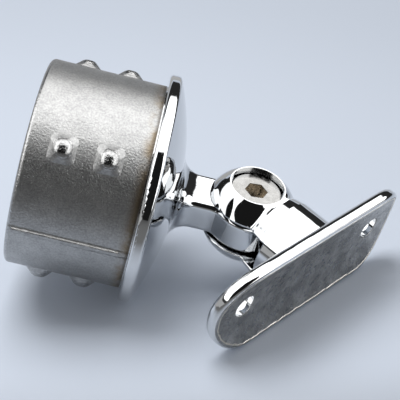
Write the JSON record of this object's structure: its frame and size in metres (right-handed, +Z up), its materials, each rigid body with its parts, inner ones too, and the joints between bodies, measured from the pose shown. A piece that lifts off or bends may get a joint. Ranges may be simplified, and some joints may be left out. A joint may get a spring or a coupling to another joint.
{
  "type": "handrail bracket",
  "caption": "Stainless handrail bracket: a domed plug drives into a round post, and a curved saddle plate on a tilting fork knuckle carries a round rail.",
  "frame": {"origin": "on the post's axis, in the plane where the flange seats on the end of the tube", "axes": "+Z up the post's axis, away from the tube; +Y along the pivot, towards the screw's head; at rest the saddle's -X end is the low one"},
  "size_m": [0.0604, 0.0508, 0.0827],
  "materials": {
    "cast_stainless": "mirror polished flange, cap and neck; plug as cast",
    "polished_stainless": "mirror polished; rail side of the plate as cast",
    "screw_stainless": "satin turned"
  },
  "bodies": {
    "post": {"post_insert": "cast_stainless"},
    "saddle": {"saddle": "polished_stainless", "pivot_screw": "screw_stainless"}
  },
  "joints": [
    {"name": "saddle_tilt", "type": "hinge", "parent": "post", "child": "saddle", "pos_m": [0, 0, 0.024], "axis": [0, 1, 0], "range_deg": [-21.5, 98.5]}
  ]
}
